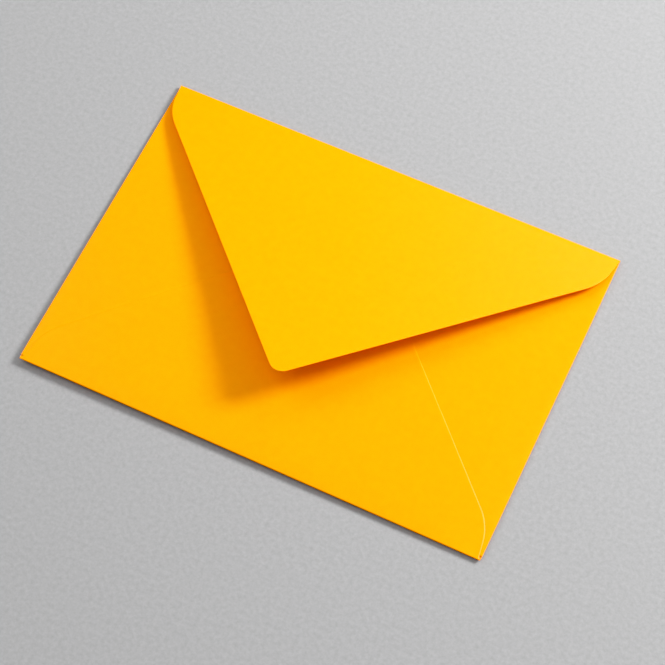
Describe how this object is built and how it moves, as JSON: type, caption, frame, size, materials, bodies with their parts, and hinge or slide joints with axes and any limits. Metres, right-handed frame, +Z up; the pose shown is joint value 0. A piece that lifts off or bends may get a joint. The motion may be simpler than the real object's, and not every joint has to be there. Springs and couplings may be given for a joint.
{
  "type": "paper envelope",
  "caption": "Rectangular envelope of warm yellow paper: a flat glued pocket with a pointed closing flap that stands slightly open.",
  "frame": {"origin": "middle of the underside, on the surface that the envelope lies on", "axes": "+X along the long side, +Y towards the fold of the closing flap, +Z up, towards the flap side"},
  "size_m": [0.162, 0.114, 0.0155],
  "materials": {
    "paper": "uncoated, matte, coloured through"
  },
  "bodies": {
    "root": {"envelope": "paper"}
  },
  "joints": []
}
